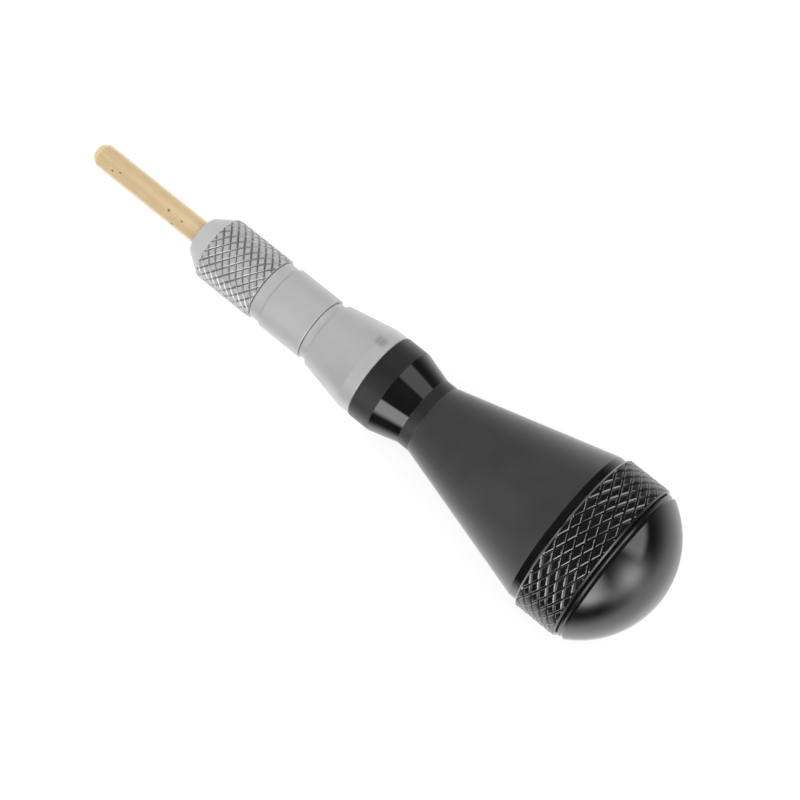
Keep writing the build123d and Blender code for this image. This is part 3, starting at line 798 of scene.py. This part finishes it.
class Sky(Tree):
    """The world's light as a sum of soft windows. Azimuth runs from +X towards +Y, in degrees."""

    def __init__(self, name):
        self.world = bpy.data.worlds.new(name)
        super().__init__(self.world)
        x, y, z = self.split(self.add("ShaderNodeTexCoord").outputs["Generated"])
        self.azimuth = self.degrees("ARCTAN2", y, x)
        self.elevation = self.degrees("ARCSINE", z)
        self.behind = self.degrees("ARCTAN2", self.times(y, -1.0), self.times(x, -1.0))
        self.total = None

    def degrees(self, operation, *values):
        return self.times(self.math(operation, *values), math.degrees(1))

    def gather(self, level):
        self.total = level if self.total is None else self.plus(self.total, level)

    def window(self, level, left, right, low, high):
        """A softbox. Each edge is the pair of angles between which it fades in or out."""
        value = self.times(self.step(self.azimuth, *left), level)
        value = self.times(value, self.step(self.azimuth, *right))
        value = self.times(value, self.step(self.elevation, *low))
        self.gather(self.times(value, self.step(self.elevation, *high)))

    def glow(self, level, azimuth, elevation, width, height, behind=False):
        """A round soft glow, with the widths at which it falls to about a third."""
        bearing = self.behind if behind else self.azimuth
        across = self.math("DIVIDE", self.minus(bearing, azimuth), width)
        along = self.math("DIVIDE", self.minus(self.elevation, elevation), height)
        square = self.plus(self.times(across, across), self.times(along, along))
        self.gather(self.times(self.math("EXPONENT", self.times(square, -1.0)), level))

    def table(self, level, dimmer):
        """The white table below. It fades out towards the horizon, lower down on the two sides.

        Left and right grow from 0 along X to 90 straight to that side, and left is negative.
        """
        off_side = self.math("ABSOLUTE", self.minus(self.math("ABSOLUTE", self.azimuth), 90.0))
        aside = self.minus(90.0, off_side)
        left = self.times(aside, self.times(self.math("LESS_THAN", self.azimuth, 0.0), -1.0))
        right = self.times(aside, self.math("GREATER_THAN", self.azimuth, 0.0))
        start = self.plus(self.times(left, 0.28), 3.0)
        start = self.math("MAXIMUM", self.plus(start, self.times(right, 0.06)), -20.0)
        end = self.plus(self.times(left, 0.45), self.times(right, -0.34))
        end = self.math("MAXIMUM", self.plus(end, -18.0), -50.0)
        value = self.times(self.step(self.elevation, start, end), level)
        shade = self.times(self.step(self.azimuth, 5.0, 45.0), dimmer)
        below = self.times(self.step(self.elevation, -48.0, -72.0), 0.22)
        self.gather(self.times(value, self.minus(self.minus(1.0, shade), below)))

    def finish(self):
        background = self.nodes["Background"]
        self.feed(background, "Strength", self.total)
        self.feed(background, "Color", WHITE)
        return self.world


sky = Sky("studio")
sky.gather(sky.times(sky.step(sky.elevation, -90.0, 90.0), 0.03))
sky.window(5.0, left=(-92, -86), right=(-16, -40), low=(-2, 17), high=(46, 40))
sky.glow(2.7, azimuth=-47, elevation=9, width=14, height=10)
sky.window(3.0, left=(12, 26), right=(58, 50), low=(9, 20), high=(50, 42))
sky.window(1.55, left=(52, 58), right=(88, 85), low=(19, 27), high=(67, 62))
sky.glow(5.2, azimuth=1, elevation=13, width=15, height=17)
sky.glow(1.2, azimuth=-20, elevation=8, width=9, height=14)
sky.glow(2.0, azimuth=0, elevation=-5, width=26, height=10, behind=True)
sky.table(1.55, dimmer=0.24)
scene.world = sky.finish()
scene.world.cycles_visibility.diffuse = False


def softlight(name, radiance, size, place, aim):
    """A wide soft light that fills the shadows and isn't seen in reflections."""
    data = bpy.data.lights.new(name, "AREA")
    data.shape = "DISK"
    data.size = size
    data.energy = radiance * math.pi * math.pi * size * size / 4
    light = bpy.data.objects.new(name, data)
    bpy.context.scene.collection.objects.link(light)
    light.location = place
    light.rotation_euler = (aim - place).to_track_quat("-Z", "Y").to_euler()
    light.visible_camera = False
    light.visible_glossy = False


softlight("overhead", 1.15, 3.6, middle + Vector((0, 0, 1.0)), middle)

# ------------------------------------------------------------------ floor and backdrop

FLOOR_REACH = 1.6       # metres from the tool's middle to where the floor curves up
COVE = 0.6              # radius of that curve
COVE_STEPS = 12
TURNS = 64


def stage_material(name, albedo, glow):
    """Matt pale card with a little light of its own, faintly mottled."""
    material = bpy.data.materials.new(name)
    card = Tree(material)
    shader = card.nodes["Principled BSDF"]
    mottle = card.add("ShaderNodeTexNoise")
    card.feed(mottle, "Scale", 40.0)
    tint = card.add("ShaderNodeValToRGB")
    tint.color_ramp.elements[0].color = (*grey(albedo - 0.01), 1.0)
    tint.color_ramp.elements[1].color = (*grey(albedo + 0.01), 1.0)
    card.feed(tint, "Fac", mottle.outputs["Fac"])
    card.feed(shader, "Base Color", tint.outputs["Color"])
    card.feed(shader, "Roughness", 0.9)
    card.feed(shader, "Specular IOR Level", 0.0)
    card.feed(shader, "Emission Color", WHITE)
    card.feed(shader, "Emission Strength", glow)
    return material


def bowl(name, profile, material):
    """A surface turned about the upright line through the tool's middle, open at both ends."""
    points, faces = [], []
    for radius, level in profile:
        for k in range(TURNS):
            angle = 2 * math.pi * k / TURNS
            x = middle.x + radius * math.cos(angle)
            y = middle.y + radius * math.sin(angle)
            points.append((x, y, level))
    for row in range(len(profile) - 1):
        a, b = row * TURNS, (row + 1) * TURNS
        for k in range(TURNS):
            beside = (k + 1) % TURNS
            faces.append((a + k, b + k, b + beside, a + beside))
    mesh = bpy.data.meshes.new(name)
    mesh.from_pydata(points, [], faces)
    mesh.materials.append(material)
    made = bpy.data.objects.new(name, mesh)
    bpy.context.scene.collection.objects.link(made)
    return made


base = cad_box[0].z
ground = [(0.0, base), (0.5, base), (FLOOR_REACH, base)]
floor = bowl("floor", ground, stage_material("floor_card", 0.36, 0.79))
floor.visible_glossy = False
sweep = []
for angle in np.linspace(0, math.pi / 2, COVE_STEPS):
    sweep.append((FLOOR_REACH + COVE * math.sin(angle), base + COVE - COVE * math.cos(angle)))
sweep += [(2.2, base + 1.4), (1.9, base + 2.2), (1.2, base + 2.8), (0.01, base + 3.0)]
backdrop = bowl("backdrop", sweep, stage_material("backdrop_card", 0.86, 0.9))
backdrop.visible_glossy = False
backdrop.visible_diffuse = False
backdrop.visible_shadow = False
backdrop.visible_transmission = False
